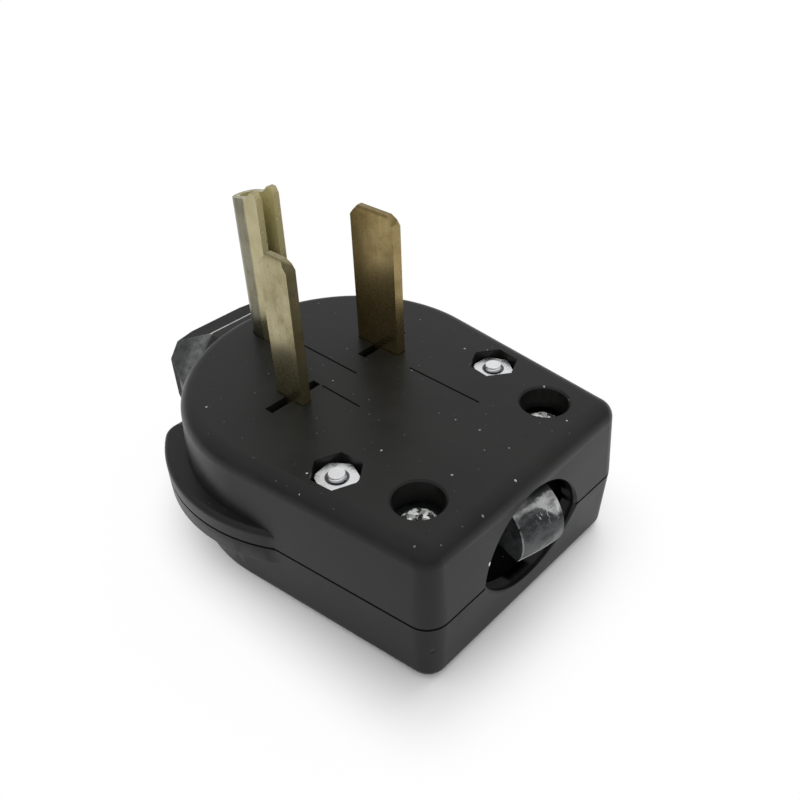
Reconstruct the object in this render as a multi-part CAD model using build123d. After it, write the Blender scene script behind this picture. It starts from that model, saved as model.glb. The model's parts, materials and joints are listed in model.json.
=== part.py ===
from build123d import *
import os
from math import cos, radians, sin, sqrt, tan

# Right-angle mains plug that lies on its back cover with its blades standing up.
# X runs towards the cord end, Y across the plug, Z up out of the mating face.
# The origin is on the resting face, below the midpoint between the two cover bolts.

# Housing
cover_depth = 13.8            # resting face to parting plane
body_depth = 15.7             # parting plane to mating face
round_end_radius = 32.0       # plan radius of the round end, at the parting plane
round_end_x = -20.2           # centre of that radius
cord_end_x = 25.8             # outside of the cord end
side_taper = 7.0              # degrees by which each side closes towards the cord end
cord_corner_radius = 4.5      # upright corners at the cord end
inner_corner_radius = 0.8     # least radius of the same corners inside
draft = 3.6                   # degrees of mould draft, both ways from the parting plane
face_edge_radius = 3.4        # round-over of the mating face
cover_edge_radius = 2.4       # round-over of the resting face
housing_wall = 3.0
face_thickness = 4.6
cover_floor = 3.0
groove_height = 0.25          # rebate along both rims, seen as the parting line
groove_depth = 0.3

# Finger ledges, one crescent on each side of the round end
ledge_radius = 33.0
ledge_centre_x = -23.1
ledge_centre_y = 1.8
ledge_end_x = -46.0
ledge_end_radius = 4.5
ledge_rise = 3.6              # above the parting plane
ledge_drop = 3.4              # below it, before the underside slopes in
ledge_slope_depth = 5.0
ledge_slope = 35.0            # degrees
ledge_edge_radius = 1.1

# Pull lug on the round end
lug_end_x = -62.0
lug_end_half_width = 6.6
lug_corner_x = -58.4
lug_corner_half_width = 14.6
lug_root_x = -44.0
lug_root_half_width = 20.0
lug_top_drop = 1.0            # below the mating face, where the lug leaves the round end
lug_top_slope = 22.0          # degrees by which its top falls outwards
lug_shoulder_half_width = 7.6
lug_shoulder_slope = 36.0     # degrees by which its two shoulders fall
lug_cover_depth = 6.5         # below the parting plane
lug_cover_slope = 20.0        # degrees
lug_edge_radius = 0.9

# Cord opening in the end wall
opening_half_width = 12.8
opening_rise = 12.0           # height of its arc in the face body
opening_drop = 7.9            # depth of its shallow arc in the cover
opening_flare = 0.6           # bevel around its mouth
opening_flare_angle = 45.0    # degrees

# Cover bolts and hexagon nuts
bolt_y = 20.8
bolt_radius = 1.75
bolt_clearance = 0.2
bolt_head_radius = 3.6
bolt_head_height = 2.5
bolt_head_sink = 0.8          # head below the resting face
bolt_head_clearance = 0.5
bolt_tip_proud = 0.9          # above the nut
boss_radius = 6.3
nut_across_flats = 7.0
nut_height = 2.8
nut_sink = 1.4                # below the mating face
nut_clearance = 0.65          # on each flat, room for a nut driver
nut_turn = 30.0               # degrees by which a nut stands turned in its pocket
nut_bevel = 0.5
thread_clearance = 0.05

# Blades, cut and bent from brass strip
blade_thickness = 2.1
blade_half_spacing = 11.6
blade_x = -21.1
blade_height = 28.8           # above the mating face
narrow_blade_width = 7.0
wide_blade_width = 10.8
tip_corner_run = 1.6          # tip corners, along the width
tip_corner_drop = 2.0         # tip corners, along the length
tip_bevel_run = 0.5           # tip bevel, into the thickness
tip_bevel_drop = 1.0
slot_clearance = 0.15
cross_slot_inner_y = 5.9      # empty crossing slots, from here
cross_slot_outer_y = 17.7     # to here
cross_slot_width = 2.0

# Terminal feet under the face, with clamp plates and screws
foot_width = 11.0
foot_length = 12.9            # outwards from the middle of the blade
foot_bend_radius = 1.6
terminal_reach = 7.9          # from the middle of the blade to its terminal screw
clamp_plate_length = 9.0
clamp_plate_thickness = 1.5
clamp_lip = 1.2
clamp_lip_height = 1.6
clamp_lip_clearance = 0.15
screw_radius = 1.9
screw_clearance = 0.1
screw_head_radius = 4.0
screw_head_height = 2.4
screw_tip_proud = 2.2         # above the foot
screw_relief = 0.5            # free space around the screw's tip
rib_thickness = 2.0
rib_width = 9.0
rib_setback = 0.1             # rib from the blade's outer face

# Earth pin, a U-shaped fold of brass strip that is open towards the blades
earth_back_x = -45.6
earth_depth = 8.9
earth_width = 5.4
earth_thickness = 1.35
earth_bend_radius = 2.6
earth_height = 31.9           # above the mating face
prong_width = 1.7             # top of each leg, measured back from its front edge
prong_corner_run = 0.6        # cut front corner of each leg
prong_corner_drop = 1.1
prong_shoulder = 1.4          # run and drop of the slope behind each leg's top
earth_back_drop = 2.75        # top of the rounded back below the tips of the legs
earth_foot_width = 9.0
earth_foot_end_x = -23.5
earth_terminal_x = -28.5
earth_rib_x = -37.0

# Cord clamp and its screws
clamp_screw_x = 14.7
clamp_screw_y = 16.9
access_radius = 4.4
access_bevel = 0.35           # around the mouth of each access hole
clamp_screw_radius = 1.75
clamp_screw_head_radius = 3.5
clamp_screw_head_height = 2.3
clamp_screw_sink = 4.2        # head below the mating face
clamp_screw_end_z = 6.8
ear_thickness = 3.0
ear_front = 5.0               # bar in front of the line between the screws
ear_back = 5.6                # bar behind that line
ear_overhang = 3.9            # beyond the screw
ear_corner_radius = 3.0
nose_radius = 6.5
nose_plan_radius = 50.0       # the nose also bulges slightly in plan
nose_sweep = 30.0             # degrees of that bulge, before its ends are cut
nose_skew = 13.0              # degrees by which the nose stands askew on its bar
nose_x = 21.9
nose_drop = 12.5              # nose centre below the mating face
nose_half_length = 4.6
nose_y = 0.8                  # middle of the nose, towards the far side
nose_underside_drop = 16.1    # flat underside below the mating face
nose_back_x = 12.0
post_radius = 4.6
square_nut_width = 6.4
square_nut_height = 2.6
square_nut_z = 10.2
square_nut_clearance = 0.1

# Screw heads and tips, as shares of the head's or shank's own size
head_bevel_share = 0.45       # of the head's height
recess_depth_share = 0.5      # of the head's height
recess_length_share = 1.2     # of the head's radius
recess_width_share = 0.25     # of the head's radius
tip_bevel_share = 0.12        # of the shank's radius

# Engraved leader lines on the mating face, as start x, end x and y
leader_lines = [(-19.5, -9.5, -6.0), (-32.5, -17.5, 1.0), (-11.0, 6.0, 9.0)]
leader_width = 0.4
leader_depth = 0.25

# Levels worked out from the sizes above
parting_z = cover_depth
face_z = cover_depth + body_depth
ceiling_z = face_z - face_thickness
foot_z = ceiling_z - blade_thickness
plate_z = foot_z - clamp_plate_thickness
nut_z = face_z - nut_sink - nut_height
bolt_seat_z = bolt_head_sink + bolt_head_height
ear_top_z = face_z - clamp_screw_sink - clamp_screw_head_height
ear_z = ear_top_z - ear_thickness
blade_outer_y = blade_half_spacing + blade_thickness / 2
blade_inner_y = blade_half_spacing - blade_thickness / 2
foot_end_y = blade_half_spacing + foot_length
terminal_y = blade_half_spacing + terminal_reach
earth_front_x = earth_back_x + earth_depth

BASE = (Align.CENTER, Align.CENTER, Align.MIN)
TOUCH = 0.001
SIDES = {"near": -1, "far": 1}


def rod(x, y, low, high, radius):
    """Upright cylinder between two heights."""
    return Pos(x, y, low) * Cylinder(radius, high - low, align=BASE)


def block(x_ends, y_ends, z_ends):
    """Box between two limits along each axis, given in any order."""
    (x0, x1), (y0, y1), (z0, z1) = sorted(x_ends), sorted(y_ends), sorted(z_ends)
    return Pos((x0 + x1) / 2, (y0 + y1) / 2, z0) * Box(x1 - x0, y1 - y0, z1 - z0, align=BASE)


def side_prism(points, half_length):
    """Solid with an outline in X and Z, centred on the plug's middle plane."""
    outline = make_face(Plane.XZ * Polyline(*points, close=True))
    return extrude(outline, amount=half_length, both=True)


def end_prism(points, start_x, end_x):
    """Solid with an outline in Y and Z, between two places along X."""
    plane = Plane(origin=(start_x, 0, 0), x_dir=(0, 1, 0), z_dir=(1, 0, 0))
    outline = make_face(plane * Polyline(*points, close=True))
    return extrude(outline, amount=end_x - start_x, dir=(1, 0, 0))


def upright(plan, height, taper=0.0):
    """Solid raised from a plan, or lowered with a negative height."""
    return extrude(plan, amount=height, dir=(0, 0, 1), taper=taper)


def round_back(solid, radius):
    """Round the two upright edges that point away from the cord end."""
    return fillet(solid.edges().filter_by(Axis.Z).sort_by(Axis.X)[:2], radius)


def housing_outline(inset):
    """Plan of the housing at the parting plane, moved inwards by the inset."""
    radius = round_end_radius - inset
    end_x = cord_end_x - inset
    slope = radians(side_taper)
    touch_x = round_end_x + radius * sin(slope)
    touch_y = radius * cos(slope)
    end_y = touch_y - (end_x - touch_x) * tan(slope)
    back = ThreePointArc((touch_x, touch_y), (round_end_x - radius, 0), (touch_x, -touch_y))
    sides = Polyline((touch_x, -touch_y), (end_x, -end_y), (end_x, end_y), (touch_x, touch_y))
    face = make_face(back + sides)
    corners = [v for v in face.vertices() if abs(v.X - end_x) < TOUCH]
    return fillet(corners, max(cord_corner_radius - inset, inner_corner_radius))


def half_housing(height, inset=0.0):
    """Drafted housing above (or, with a negative height, below) the parting plane."""
    return Pos(0, 0, parting_z) * upright(housing_outline(inset), height, draft)


def ledge_outline():
    """Plan of both finger ledges, cut straight at the round end."""
    halves = []
    reach = 2 * ledge_radius
    for side in SIDES.values():
        disc = Pos(ledge_centre_x, side * ledge_centre_y) * Circle(ledge_radius)
        half = disc & Pos(ledge_end_x + reach / 2, side * reach / 2) * Rectangle(reach, reach)
        corner = [v for v in half.vertices() if abs(v.X - ledge_end_x) < TOUCH and abs(v.Y) > TOUCH]
        halves.append(fillet(corner, ledge_end_radius))
    return halves[0] + halves[1]


def lug_outline():
    """Plan of the pull lug."""
    half = [
        (lug_root_x, lug_root_half_width),
        (lug_corner_x, lug_corner_half_width),
        (lug_end_x, lug_end_half_width),
    ]
    other_half = [(x, -y) for x, y in reversed(half)]
    return make_face(Polyline(*half, *other_half, close=True))


def upper_lug():
    """Pull lug above the parting plane, with a sloping top and two sloping shoulders."""
    lug = Pos(0, 0, parting_z) * upright(lug_outline(), body_depth)
    start_x = round_end_x - round_end_radius
    start_z = face_z - lug_top_drop
    fall = tan(radians(lug_top_slope))
    lug &= side_prism(
        [
            (lug_end_x, parting_z),
            (lug_root_x, parting_z),
            (lug_root_x, start_z + (lug_root_x - start_x) * fall),
            (lug_end_x, start_z + (lug_end_x - start_x) * fall),
        ],
        lug_root_half_width,
    )
    shoulder_run = lug_root_half_width - lug_shoulder_half_width
    shoulder_z = start_z - shoulder_run * tan(radians(lug_shoulder_slope))
    roof = [
        (-lug_root_half_width, parting_z),
        (-lug_root_half_width, shoulder_z),
        (-lug_shoulder_half_width, start_z),
        (lug_shoulder_half_width, start_z),
        (lug_root_half_width, shoulder_z),
        (lug_root_half_width, parting_z),
    ]
    lug &= end_prism(roof, lug_end_x, lug_root_x)
    low = parting_z + lug_edge_radius
    edges = [e for e in lug.edges() if e.center().X < lug_root_x - TOUCH and e.center().Z > low]
    return fillet(edges, lug_edge_radius)


def cord_hole():
    """Cutter for the cord opening: an arc above the parting plane and a shallow one below it."""
    plane = Plane(origin=(0, 0, parting_z), x_dir=(0, 1, 0), z_dir=(1, 0, 0))
    near_end, far_end = (-opening_half_width, 0), (opening_half_width, 0)
    upper_arc = ThreePointArc(near_end, (0, opening_rise), far_end)
    lower_arc = ThreePointArc(far_end, (0, -opening_drop), near_end)
    outline = make_face(plane * (upper_arc + lower_arc))
    hole = extrude(outline, amount=cord_end_x, dir=(1, 0, 0))
    flare = Pos(cord_end_x - opening_flare, 0, 0) * extrude(
        outline, amount=2 * opening_flare, dir=(1, 0, 0), taper=-opening_flare_angle
    )
    return hole + flare


def parting_groove(height):
    """Ring that is cut away all round a rim to leave half of the parting line's groove."""
    rim = housing_outline(0) + ledge_outline() + lug_outline()
    reach = 2 * (cord_end_x - lug_end_x)
    ring = Rectangle(reach, reach) - offset(rim, -groove_depth)
    return Pos(0, 0, parting_z) * upright(ring, height)


def hexagon(across_flats, height):
    """Hexagonal prism with two corners along X."""
    return upright(RegularPolygon(across_flats / 2, 6, major_radius=False), height)


def blade_slots(side, width):
    """Slot for one blade and the empty slot that crosses it."""
    z_ends = (ceiling_z, face_z)
    half = width / 2 + slot_clearance
    y_ends = (side * (blade_inner_y - slot_clearance), side * (blade_outer_y + slot_clearance))
    slot = block((blade_x - half, blade_x + half), y_ends, z_ends)
    half_cross = cross_slot_width / 2
    cross_y = (side * cross_slot_inner_y, side * cross_slot_outer_y)
    return slot + block((blade_x - half_cross, blade_x + half_cross), cross_y, z_ends)


def earth_slot():
    """D-shaped slot for the earth pin."""
    half = earth_width / 2 + slot_clearance
    x_ends = (earth_back_x - slot_clearance, earth_front_x + slot_clearance)
    slot = block(x_ends, (-half, half), (ceiling_z, face_z))
    return round_back(slot, earth_bend_radius + slot_clearance)


def terminal_relief(x, y):
    """Blind hole in the face that clears a terminal screw's tip."""
    top = ceiling_z + screw_tip_proud + screw_relief
    return rod(x, y, ceiling_z, top, screw_radius + screw_relief)


def make_face_body():
    shell = half_housing(body_depth)
    shell = fillet(shell.faces().sort_by(Axis.Z)[-1].edges(), face_edge_radius)
    ledge = Pos(0, 0, parting_z) * upright(ledge_outline(), ledge_rise)
    ledge = fillet(ledge.faces().sort_by(Axis.Z)[-1].edges(), ledge_edge_radius)
    body = shell + ledge + upper_lug() - parting_groove(groove_height)
    body -= half_housing(ceiling_z - parting_z, housing_wall)
    body -= cord_hole()
    widths = {"near": narrow_blade_width, "far": wide_blade_width}
    for name, side in SIDES.items():
        y = side * bolt_y
        body += rod(0, y, parting_z, ceiling_z, boss_radius) & half_housing(body_depth, housing_wall / 2)
        body -= rod(0, y, parting_z, face_z, bolt_radius + bolt_clearance)
        pocket_flats = nut_across_flats + 2 * nut_clearance
        body -= Pos(0, y, nut_z) * Rot(0, 0, -side * side_taper) * hexagon(pocket_flats, face_z - nut_z)
        body -= rod(clamp_screw_x, side * clamp_screw_y, ceiling_z, face_z, access_radius)
        mouth = Cone(access_radius, access_radius + access_bevel, access_bevel, align=BASE)
        body -= Pos(clamp_screw_x, side * clamp_screw_y, face_z - access_bevel) * mouth
        body -= terminal_relief(blade_x, side * terminal_y)
        body -= blade_slots(side, widths[name])
    body -= terminal_relief(earth_terminal_x, 0)
    body -= earth_slot()
    for start, end, y in leader_lines:
        y_ends = (y - leader_width / 2, y + leader_width / 2)
        body -= block((start, end), y_ends, (face_z - leader_depth, face_z))
    return body


def clamp_post(side):
    """Post that carries one end of the cord clamp, with a pocket for its square nut."""
    y = side * clamp_screw_y
    post = rod(clamp_screw_x, y, cover_floor, ear_z, post_radius)
    hole_radius = clamp_screw_radius + bolt_clearance
    post -= rod(clamp_screw_x, y, clamp_screw_end_z - screw_relief, ear_z, hole_radius)
    half = square_nut_width / 2 + square_nut_clearance
    y_ends = (y - side * 2 * post_radius, y + side * half)
    top = square_nut_z + square_nut_height + square_nut_clearance
    return post - block((clamp_screw_x - half, clamp_screw_x + half), y_ends, (square_nut_z, top))


def foot_rib(side):
    """Rib that holds one blade's foot up against the face."""
    low_y = side * (blade_outer_y + rib_setback)
    y_ends = (low_y, low_y + side * rib_thickness)
    return block((blade_x - rib_width / 2, blade_x + rib_width / 2), y_ends, (cover_floor, foot_z))


def make_back_cover():
    shell = half_housing(-cover_depth)
    shell = fillet(shell.faces().sort_by(Axis.Z)[0].edges(), cover_edge_radius)
    rim_plan = ledge_outline()
    lip = Pos(0, 0, parting_z) * upright(rim_plan, -ledge_drop)
    under = upright(rim_plan, -ledge_slope_depth, ledge_slope)
    lug = upright(lug_outline(), -lug_cover_depth, lug_cover_slope)
    cover = shell + lip + Pos(0, 0, parting_z - ledge_drop) * under + Pos(0, 0, parting_z) * lug
    cover -= parting_groove(-groove_height)
    cover -= half_housing(cover_floor - parting_z, housing_wall)
    cover -= cord_hole()
    for side in SIDES.values():
        y = side * bolt_y
        cover += rod(0, y, cover_floor, parting_z, boss_radius) & half_housing(-cover_depth, housing_wall / 2)
        cover -= rod(0, y, 0, parting_z, bolt_radius + bolt_clearance)
        cover -= rod(0, y, 0, bolt_seat_z, bolt_head_radius + bolt_head_clearance)
        cover += clamp_post(side)
        cover += foot_rib(side)
    rib_x = (earth_rib_x - rib_thickness / 2, earth_rib_x + rib_thickness / 2)
    cover += block(rib_x, (-earth_foot_width / 2, earth_foot_width / 2), (cover_floor, foot_z))
    return cover


def tip_outline(x0, x1, low, top):
    """Outline in X and Z of a strip with two cut corners at its tip."""
    shoulder = top - tip_corner_drop
    return [
        (x0, low),
        (x1, low),
        (x1, shoulder),
        (x1 - tip_corner_run, top),
        (x0 + tip_corner_run, top),
        (x0, shoulder),
    ]


def make_blade(side, width):
    """Blade with a bevelled tip, bent outwards below the face into a terminal foot."""
    top = face_z + blade_height
    bevel_z = top - tip_bevel_drop
    section = [
        (blade_inner_y, foot_z),
        (blade_outer_y, foot_z),
        (blade_outer_y, bevel_z),
        (blade_outer_y - tip_bevel_run, top),
        (blade_inner_y + tip_bevel_run, top),
        (blade_inner_y, bevel_z),
    ]
    x_ends = (blade_x - width / 2, blade_x + width / 2)
    blade = end_prism(section, *x_ends) & side_prism(tip_outline(*x_ends, foot_z, top), blade_outer_y)
    half = foot_width / 2
    blade += block((blade_x - half, blade_x + half), (blade_inner_y, foot_end_y), (foot_z, ceiling_z))
    bend = blade.edges().filter_by(Axis.X).group_by(Axis.Z)[0].sort_by(Axis.Y)[0]
    blade = fillet(bend, foot_bend_radius)
    blade -= rod(blade_x, terminal_y, foot_z, ceiling_z, screw_radius + screw_clearance)
    return blade if side > 0 else mirror(blade, about=Plane.XZ)


def earth_tip_outline(low, top):
    """Outline in X and Z of the earth pin: two legs with cut corners in front of a lower back."""
    shoulder_x = earth_front_x - prong_width
    return [
        (earth_back_x, low),
        (earth_front_x, low),
        (earth_front_x, top - prong_corner_drop),
        (earth_front_x - prong_corner_run, top),
        (shoulder_x, top),
        (shoulder_x - prong_shoulder, top - prong_shoulder),
        (earth_back_x, top - earth_back_drop),
    ]


def make_earth_pin():
    """U-shaped pin on a foot that runs towards the blades."""
    top = face_z + earth_height
    half = earth_width / 2
    hollow_half = half - earth_thickness
    hollow_x = (earth_back_x + earth_thickness, earth_front_x)
    pin = round_back(block((earth_back_x, earth_front_x), (-half, half), (ceiling_z, top)), earth_bend_radius)
    hollow = block(hollow_x, (-hollow_half, hollow_half), (ceiling_z, top))
    pin -= round_back(hollow, earth_bend_radius - earth_thickness)
    pin &= side_prism(earth_tip_outline(ceiling_z, top), half)
    foot_half = earth_foot_width / 2
    pin += block((earth_back_x, earth_foot_end_x), (-foot_half, foot_half), (foot_z, ceiling_z))
    return pin - rod(earth_terminal_x, 0, foot_z, ceiling_z, screw_radius + screw_clearance)


def make_wire_clamp(width):
    """Clamp plate for a foot of the given width along X, with a lip over each edge."""
    inner = width / 2 + clamp_lip_clearance
    outer = inner + clamp_lip
    y_ends = (-clamp_plate_length / 2, clamp_plate_length / 2)
    plate = block((-outer, outer), y_ends, (plate_z, foot_z))
    for x_ends in ((-outer, -inner), (inner, outer)):
        plate += block(x_ends, y_ends, (foot_z, foot_z + clamp_lip_height))
    return plate - rod(0, 0, plate_z, foot_z, screw_radius + screw_clearance)


def make_screw(shank_radius, length, head_radius, head_height):
    """Pan-head screw with a cross recess, pointing down from a seat at height zero."""
    head = Cylinder(head_radius, head_height, align=BASE)
    head = chamfer(head.edges().sort_by(Axis.Z)[-1], head_height * head_bevel_share)
    recess_z = head_height * (1 - recess_depth_share)
    arm = Pos(0, 0, recess_z) * Box(
        head_radius * recess_length_share, head_radius * recess_width_share, head_height, align=BASE
    )
    head -= arm + Rot(0, 0, 90) * arm
    shank = Pos(0, 0, -length) * Cylinder(shank_radius, length, align=BASE)
    return head + chamfer(shank.edges().sort_by(Axis.Z)[0], shank_radius * tip_bevel_share)


def make_nut():
    """Hexagon nut with bevelled corners."""
    corner_radius = nut_across_flats / sqrt(3)
    turned = Cylinder(corner_radius, nut_height, align=BASE)
    turned = chamfer(turned.edges().filter_by(GeomType.CIRCLE), nut_bevel)
    hole = Cylinder(bolt_radius + thread_clearance, nut_height, align=BASE)
    return (hexagon(nut_across_flats, nut_height) & turned) - hole


def make_square_nut():
    nut = Box(square_nut_width, square_nut_width, square_nut_height, align=BASE)
    return nut - Cylinder(clamp_screw_radius + thread_clearance, square_nut_height, align=BASE)


def make_clamp_nose():
    """Rounded nose that bears on the cord: a profile swept round a large arc and cut to length."""
    nose_z = face_z - nose_drop
    under_z = face_z - nose_underside_drop
    front_x = nose_x + sqrt(nose_radius**2 - (nose_z - under_z) ** 2)
    tip_x = nose_x + nose_radius
    top_z = nose_z + nose_radius
    arc = ThreePointArc((front_x, under_z), (tip_x, nose_z), (nose_x, top_z))
    rest = Polyline((nose_x, top_z), (nose_back_x, top_z), (nose_back_x, under_z), (front_x, under_z))
    profile = make_face(Plane.XZ * (arc + rest))
    spin = Axis((tip_x - nose_plan_radius, 0, 0), (0, 0, 1))
    bulge = revolve(profile.rotate(spin, -nose_sweep / 2), spin, nose_sweep)
    nose = bulge & block((0, tip_x), (-nose_half_length, nose_half_length), (under_z, top_z))
    return Pos(0, nose_y, 0) * nose.rotate(Axis((nose_x, 0, 0), (0, 0, 1)), -nose_skew)


def make_cord_clamp():
    """Bar between two posts, drilled for its screws, with the nose in the middle."""
    reach = clamp_screw_y + ear_overhang
    x_ends = (clamp_screw_x - ear_back, clamp_screw_x + ear_front)
    bar = block(x_ends, (-reach, reach), (ear_z, ear_top_z))
    clamp = fillet(bar.edges().filter_by(Axis.Z), ear_corner_radius) + make_clamp_nose()
    for side in SIDES.values():
        hole_radius = clamp_screw_radius + bolt_clearance
        clamp -= rod(clamp_screw_x, side * clamp_screw_y, ear_z, ear_top_z, hole_radius)
    return clamp


parts = {
    "face_body": make_face_body(),
    "back_cover": make_back_cover(),
    "narrow_blade": make_blade(SIDES["near"], narrow_blade_width),
    "wide_blade": make_blade(SIDES["far"], wide_blade_width),
    "earth_pin": make_earth_pin(),
    "cord_clamp": make_cord_clamp(),
}

bolt_length = face_z - nut_sink + bolt_tip_proud - bolt_seat_z
bolt = Rot(180, 0, 0) * make_screw(bolt_radius, bolt_length, bolt_head_radius, bolt_head_height)
clamp_screw_length = ear_top_z - clamp_screw_end_z
clamp_screw = make_screw(
    clamp_screw_radius, clamp_screw_length, clamp_screw_head_radius, clamp_screw_head_height
)
for name, side in SIDES.items():
    parts[f"cover_bolt_{name}"] = Pos(0, side * bolt_y, bolt_seat_z) * bolt
    turned = Rot(0, 0, side * (nut_turn - side_taper))
    parts[f"cover_nut_{name}"] = Pos(0, side * bolt_y, nut_z) * turned * make_nut()
    clamp_place = Pos(clamp_screw_x, side * clamp_screw_y, 0)
    parts[f"clamp_screw_{name}"] = clamp_place * Pos(0, 0, ear_top_z) * clamp_screw
    parts[f"clamp_nut_{name}"] = clamp_place * Pos(0, 0, square_nut_z) * make_square_nut()

terminal_length = clamp_plate_thickness + blade_thickness + screw_tip_proud
terminal_screw = Rot(180, 0, 0) * make_screw(
    screw_radius, terminal_length, screw_head_radius, screw_head_height
)
terminals = {
    "narrow": Pos(blade_x, SIDES["near"] * terminal_y, 0),
    "wide": Pos(blade_x, SIDES["far"] * terminal_y, 0),
    "earth": Pos(earth_terminal_x, 0, 0) * Rot(0, 0, 90),
}
foot_widths = {"narrow": foot_width, "wide": foot_width, "earth": earth_foot_width}
for name, place in terminals.items():
    parts[f"wire_clamp_{name}"] = place * make_wire_clamp(foot_widths[name])
    parts[f"terminal_screw_{name}"] = place * Pos(0, 0, plate_z) * terminal_screw

os.makedirs("parts", exist_ok=True)
for name, solid in parts.items():
    export_step(solid, f"parts/{name}.step")
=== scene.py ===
# %% [markdown]
# A right-angle mains plug lies on its back cover with its three contacts standing up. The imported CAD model
# is the fixed frame of this scene: every length is in metres and every solid is already in its place. This
# first step loads the frame and keeps its outer box, because the dressed plug has to stay inside that box.

# %% Load the frame
import json
from math import cos, pi, radians, sin, sqrt, tan

import bmesh
import bpy
from mathutils import Matrix, Vector


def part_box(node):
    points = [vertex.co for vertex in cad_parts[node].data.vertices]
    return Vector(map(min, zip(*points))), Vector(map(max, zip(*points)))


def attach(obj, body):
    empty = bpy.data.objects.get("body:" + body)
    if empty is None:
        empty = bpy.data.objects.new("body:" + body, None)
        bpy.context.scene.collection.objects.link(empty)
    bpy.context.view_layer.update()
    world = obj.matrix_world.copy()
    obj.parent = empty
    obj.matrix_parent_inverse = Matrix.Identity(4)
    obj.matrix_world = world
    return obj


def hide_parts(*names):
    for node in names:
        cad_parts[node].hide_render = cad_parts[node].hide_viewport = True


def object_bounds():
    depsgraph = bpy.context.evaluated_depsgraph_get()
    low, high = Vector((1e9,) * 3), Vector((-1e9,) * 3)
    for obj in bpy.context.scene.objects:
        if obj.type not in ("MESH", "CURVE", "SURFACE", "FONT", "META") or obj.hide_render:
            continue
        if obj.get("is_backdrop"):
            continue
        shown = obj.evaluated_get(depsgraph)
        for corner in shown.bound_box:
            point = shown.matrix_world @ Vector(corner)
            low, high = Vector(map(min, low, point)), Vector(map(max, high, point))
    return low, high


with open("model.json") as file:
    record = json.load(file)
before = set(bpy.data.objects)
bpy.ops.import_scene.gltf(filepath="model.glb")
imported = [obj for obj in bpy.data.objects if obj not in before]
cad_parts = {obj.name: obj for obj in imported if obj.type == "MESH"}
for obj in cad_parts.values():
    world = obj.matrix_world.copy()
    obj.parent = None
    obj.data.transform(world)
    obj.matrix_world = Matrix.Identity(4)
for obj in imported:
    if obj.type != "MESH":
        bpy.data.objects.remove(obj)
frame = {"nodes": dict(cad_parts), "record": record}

mm = 0.001
scene = bpy.context.scene
cad_low, cad_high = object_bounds()
print("frame:", len(frame["nodes"]), "solids, box", [round(v, 4) for v in cad_high - cad_low], "m")

# %% [markdown]
# The photograph was taken from close by, so its perspective is strong and a guessed camera would bend every
# edge. The parallel edges of the housing fix the camera: two angles, a little roll, the distance from the
# mating face and the lens. Building the three view axes from those angles keeps the numbers readable, and
# the same axes then serve to place the lamps to the left or right of the picture.

# %% Camera
view_azimuth, view_elevation, view_roll = radians(44.542), radians(36.709), radians(-2.34)
view_distance, aim_right, aim_up = 151.5 * mm, 3.75 * mm, -2.18 * mm
lens_length, sensor_width, nearest_seen = 38.19, 36.0, 10 * mm

face_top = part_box("face_body")[1].z
world_up = Vector((0, 0, 1))
flat_back = Vector((sin(view_azimuth), -cos(view_azimuth), 0))
view_back = cos(view_elevation) * flat_back + sin(view_elevation) * world_up
level_right = world_up.cross(view_back).normalized()
level_up = view_back.cross(level_right)
view_right = cos(view_roll) * level_right + sin(view_roll) * level_up
view_up = cos(view_roll) * level_up - sin(view_roll) * level_right

camera = bpy.data.objects.new("camera", bpy.data.cameras.new("camera"))
scene.collection.objects.link(camera)
camera_place = face_top * world_up + view_distance * view_back - aim_right * view_right - aim_up * view_up
view_axes = Matrix((view_right, view_up, view_back)).transposed().to_4x4()
camera.matrix_world = Matrix.Translation(camera_place) @ view_axes
camera.data.lens = lens_length
camera.data.sensor_width = sensor_width
camera.data.clip_start = nearest_seen
scene.camera = camera
print("camera at", [round(v, 4) for v in camera_place])

# %% [markdown]
# Materials are small node trees. Writing each link by hand makes long cells, so three helpers come first: one
# starts a finish and hands back its shader, and two add a node and fill its sockets by name or number. A
# plain value goes straight into a socket, and a socket of another node becomes a link.

# %% Helpers that add nodes
def new_finish(name):
    """A new material, its node tree and its shader node."""
    finish = bpy.data.materials.new(name)
    finish.use_nodes = True
    return finish, finish.node_tree, finish.node_tree.nodes["Principled BSDF"]


def fill_sockets(tree, node, sockets):
    """Gives each socket a plain value or a link from another node's socket."""
    for key, value in sockets.items():
        if isinstance(value, bpy.types.NodeSocket):
            tree.links.new(value, node.inputs[key])
        else:
            node.inputs[key].default_value = value


def add_node(tree, kind, sockets=None, **settings):
    """A new node with its settings made and its sockets filled."""
    node = tree.nodes.new(kind)
    for key, value in settings.items():
        setattr(node, key, value)
    fill_sockets(tree, node, sockets or {})
    return node


print("node helpers ready")

# %% [markdown]
# A mark on a surface needs a mask that says where it is. Object coordinates stay fixed to a piece from every
# side, and the direction in which a surface faces tells its top from its sides. A fade turns one of those
# measures into a mask between 0 and 1. A painted picture could do the same, but masks made from measures
# stay sharp close by and can be changed by one number.

# %% Helpers for masks
def calculate(tree, operation, *values):
    """One operation over the values, from left to right. ABSOLUTE takes a single value."""
    result = values[0]
    for value in values[1:] or (0.0,):
        result = add_node(tree, "ShaderNodeMath", {0: result, 1: value}, operation=operation).outputs[0]
    return result


def product(tree, *values):
    """The values multiplied. A product of masks is 1 only where all of them are."""
    return calculate(tree, "MULTIPLY", *values)


def distance_between(tree, first, second):
    """How far two values lie apart."""
    return calculate(tree, "ABSOLUTE", calculate(tree, "SUBTRACT", first, second))


def fade(tree, value, start, end, low=0.0, high=1.0):
    """Runs from low to high while value goes from start to end, with a soft start and end."""
    sockets = {"Value": value, "From Min": start, "From Max": end, "To Min": low, "To Max": high}
    return add_node(tree, "ShaderNodeMapRange", sockets, interpolation_type="SMOOTHSTEP").outputs[0]


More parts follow.
